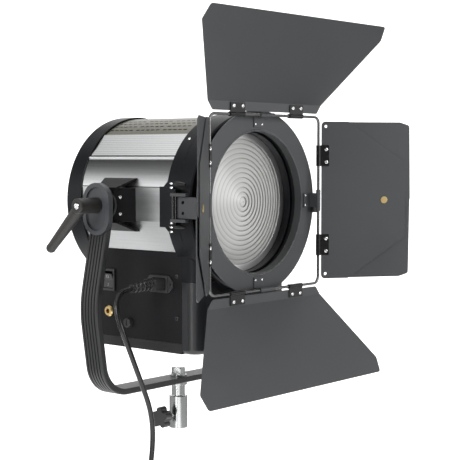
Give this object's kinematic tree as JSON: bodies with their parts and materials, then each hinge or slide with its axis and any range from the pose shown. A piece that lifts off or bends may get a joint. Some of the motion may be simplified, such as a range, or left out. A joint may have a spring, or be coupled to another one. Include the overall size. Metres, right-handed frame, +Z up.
{
  "type": "fresnel spotlight",
  "caption": "Fresnel spotlight with a ribbed yoke, stand socket, rotating ring with four barn doors, sliding light engine and a mains lead",
  "frame": {"origin": "centre of the mouth of the stand socket, under the middle of the yoke", "axes": "+X to the lamp's right side seen from behind it, +Y to its back, +Z up; the lens looks towards -Y"},
  "size_m": [0.4706, 0.3681, 0.7279],
  "materials": {
    "olive_enamel": "satin",
    "brushed_aluminium": "satin",
    "black_enamel": "satin",
    "bare_aluminium": "satin",
    "optical_glass": "gloss",
    "black_plastic": "matte",
    "brass": "satin",
    "board_plastic": "matte",
    "plated_steel": "gloss",
    "yoke_enamel": "satin",
    "grey_enamel": "satin",
    "charcoal_enamel": "satin",
    "black_steel": "gloss",
    "cord_pvc": "satin"
  },
  "bodies": {
    "yoke": {"yoke_bar": "yoke_enamel", "pivot_covers": "grey_enamel", "friction_discs": "black_plastic", "tilt_bolts": "plated_steel", "stand_socket": "plated_steel", "cap_nut_and_washer": "plated_steel", "cord_drop": "cord_pvc", "cord_coil": "cord_pvc", "cord_plug": "cord_pvc"},
    "lock_screw_body": {"lock_screw": "plated_steel"},
    "lock_knob_body": {"lock_knob": "black_plastic"},
    "tilt_lever_body": {"tilt_lever": "black_plastic"},
    "head": {"top_panel": "olive_enamel", "upper_side_panels": "brushed_aluminium", "lower_side_panels": "brushed_aluminium", "front_cap": "black_enamel", "front_ring": "black_enamel", "lens_holder": "black_enamel", "lens_retainer": "bare_aluminium", "fresnel_lens": "optical_glass", "rear_cap": "black_enamel", "control_panel": "black_enamel", "base_tray": "black_enamel", "base_front": "black_enamel", "side_plates": "black_enamel", "pivot_brackets": "brushed_aluminium", "power_inlet": "black_plastic", "switch_bezel": "black_plastic", "low_voltage_jack": "brass", "fuse_cap": "black_plastic", "clamp_brackets": "black_enamel", "guide_rods": "plated_steel", "driver_board": "board_plastic", "cord_connector": "cord_pvc"},
    "rocker": {"power_rocker": "black_plastic"},
    "left_clamp": {"left_clamp_arm": "grey_enamel"},
    "right_clamp": {"right_clamp_arm": "grey_enamel"},
    "focus": {"focus_knob_and_screw": "black_plastic"},
    "dimmer": {"dimmer_knob": "black_plastic"},
    "light_engine": {"carriage": "bare_aluminium", "led_module": "bare_aluminium", "heat_sink": "bare_aluminium", "fan_frame": "black_plastic"},
    "rotor": {"fan_rotor": "black_plastic"},
    "barn_ring": {"ring_plate": "charcoal_enamel", "wire_frame": "plated_steel"},
    "top_door": {"top_leaf": "charcoal_enamel", "top_hinge_clips": "black_steel"},
    "bottom_door": {"bottom_leaf": "charcoal_enamel", "bottom_hinge_clips": "black_steel"},
    "left_door": {"left_leaf": "charcoal_enamel", "left_rivet": "brass", "left_hinge_clips": "black_steel"},
    "right_door": {"right_leaf": "charcoal_enamel", "right_rivet": "brass", "right_hinge_clips": "black_steel"},
    "left_upper": {"left_upper_flap": "charcoal_enamel"},
    "left_lower": {"left_lower_flap": "charcoal_enamel"},
    "right_upper": {"right_upper_flap": "charcoal_enamel"},
    "right_lower": {"right_lower_flap": "charcoal_enamel"}
  },
  "joints": [
    {"name": "head_tilt", "type": "hinge", "parent": "yoke", "child": "head", "pos_m": [0, 0, 0.33], "axis": [1, 0, 0], "range_deg": [-60, 35], "deforming": ["cord_drop"]},
    {"name": "tilt_lever_turn", "type": "hinge", "parent": "yoke", "child": "tilt_lever_body", "pos_m": [-0.18, 0, 0.33], "axis": [1, 0, 0], "range_deg": [-120, 60]},
    {"name": "lock_slide", "type": "slide", "parent": "yoke", "child": "lock_screw_body", "axis": [1, 0, 0], "range_m": [-0.0045, 0.0005]},
    {"name": "lock_turn", "type": "hinge", "parent": "lock_screw_body", "child": "lock_knob_body", "pos_m": [-0.03, 0, 0.02], "axis": [1, 0, 0], "range_deg": [-1100, 130]},
    {"name": "power_switch", "type": "hinge", "parent": "head", "child": "rocker", "pos_m": [-0.093, 0.042, 0.222], "axis": [0, 1, 0], "range_deg": [0, 16]},
    {"name": "left_clamp_swing", "type": "hinge", "parent": "head", "child": "left_clamp", "pos_m": [-0.1285, -0.112, 0.329], "axis": [0, 0, -1], "range_deg": [0, 35], "stiffness_Nm_per_rad": 0.08, "springref_deg": -11.46},
    {"name": "right_clamp_swing", "type": "hinge", "parent": "head", "child": "right_clamp", "pos_m": [0.1285, -0.112, 0.329], "axis": [0, 0, 1], "range_deg": [0, 35], "stiffness_Nm_per_rad": 0.08, "springref_deg": -11.46},
    {"name": "focus_travel", "type": "slide", "parent": "head", "child": "light_engine", "axis": [0, 1, 0], "range_m": [-0.02, 0.04]},
    {"name": "focus_turn", "type": "hinge", "parent": "head", "child": "focus", "pos_m": [0, 0.1, 0.271], "axis": [0, 1, 0], "range_deg": [-310, 610]},
    {"name": "fan_turn", "type": "hinge", "parent": "light_engine", "child": "rotor", "pos_m": [0, 0.01, 0.333], "axis": [0, 1, 0], "continuous": true},
    {"name": "dimmer_turn", "type": "hinge", "parent": "head", "child": "dimmer", "pos_m": [-0.042, 0.1, 0.345], "axis": [0, 1, 0], "continuous": true},
    {"name": "ring_turn", "type": "hinge", "parent": "head", "child": "barn_ring", "pos_m": [0, -0.149, 0.333], "axis": [0, 1, 0], "continuous": true},
    {"name": "top_door_hinge", "type": "hinge", "parent": "barn_ring", "child": "top_door", "pos_m": [0, -0.1645, 0.452], "axis": [1, 0, 0], "range_deg": [-28, 105]},
    {"name": "bottom_door_hinge", "type": "hinge", "parent": "barn_ring", "child": "bottom_door", "pos_m": [0, -0.1645, 0.214], "axis": [-1, 0, 0], "range_deg": [-28, 105]},
    {"name": "left_door_hinge", "type": "hinge", "parent": "barn_ring", "child": "left_door", "pos_m": [-0.119, -0.1645, 0.333], "axis": [0, 0, -1], "range_deg": [-99, 36]},
    {"name": "right_door_hinge", "type": "hinge", "parent": "barn_ring", "child": "right_door", "pos_m": [0.119, -0.1645, 0.333], "axis": [0, 0, 1], "range_deg": [-99, 36]},
    {"name": "left_upper_flap_turn", "type": "hinge", "parent": "left_door", "child": "left_upper", "pos_m": [-0.1999, -0.22328, 0.333], "axis": [0.5878, -0.809, 0], "range_deg": [0, 50]},
    {"name": "left_lower_flap_turn", "type": "hinge", "parent": "left_door", "child": "left_lower", "pos_m": [-0.1999, -0.22328, 0.333], "axis": [-0.5878, 0.809, 0], "range_deg": [0, 50]},
    {"name": "right_upper_flap_turn", "type": "hinge", "parent": "right_door", "child": "right_upper", "pos_m": [0.1999, -0.22328, 0.333], "axis": [0.5878, 0.809, 0], "range_deg": [0, 50]},
    {"name": "right_lower_flap_turn", "type": "hinge", "parent": "right_door", "child": "right_lower", "pos_m": [0.1999, -0.22328, 0.333], "axis": [-0.5878, -0.809, 0], "range_deg": [0, 50]}
  ],
  "couplings": [
    {"joint": "lock_turn", "follows": "lock_slide", "rad_per_m": 4188.8},
    {"joint": "focus_turn", "follows": "focus_travel", "rad_per_m": 261.8}
  ]
}
